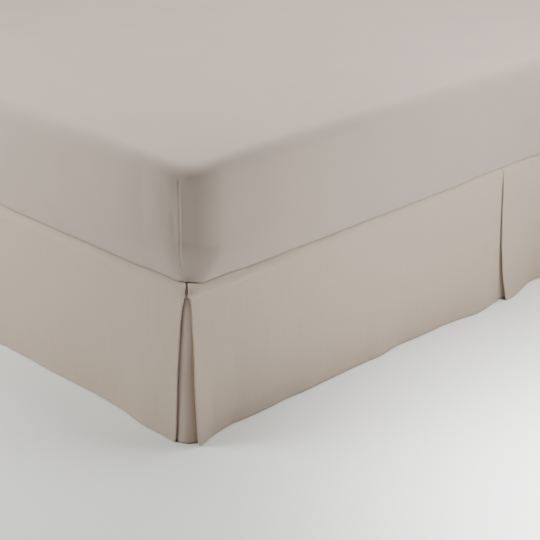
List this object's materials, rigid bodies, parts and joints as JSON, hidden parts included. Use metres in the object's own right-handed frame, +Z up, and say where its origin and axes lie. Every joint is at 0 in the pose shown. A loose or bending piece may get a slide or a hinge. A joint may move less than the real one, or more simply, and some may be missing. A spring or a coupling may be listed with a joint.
{
  "type": "bed skirt on a bed with a divan base and a mattress",
  "caption": "Tailored bed skirt with straight drops and inverted pleats at the corners and at mid side, hanging round a plain divan base under a mattress.",
  "frame": {"origin": "middle of the whole footprint, on the floor", "axes": "+Z up, +Y from the foot of the bed to its head, +X to the right-hand side seen from the foot"},
  "size_m": [1.533, 2.0044, 0.5905],
  "materials": {
    "skirt_cloth": "matt linen-look weave with fine upright slubs, warm taupe",
    "deck_cloth": "plain thin cotton, taupe",
    "sheet_cloth": "smooth fine cotton of a fitted sheet, taupe",
    "base_cloth": "plain upholstery cloth, off-white",
    "glide_plastic": "moulded black plastic"
  },
  "bodies": {
    "root": {"drop_right": "skirt_cloth", "drop_left": "skirt_cloth", "drop_foot": "skirt_cloth", "insert_right": "skirt_cloth", "insert_left": "skirt_cloth", "deck": "deck_cloth", "base": "base_cloth", "mattress": "sheet_cloth", "glide_foot_left": "glide_plastic", "glide_foot_right": "glide_plastic", "glide_middle_left": "glide_plastic", "glide_middle_right": "glide_plastic", "glide_head_left": "glide_plastic", "glide_head_right": "glide_plastic"}
  },
  "joints": []
}
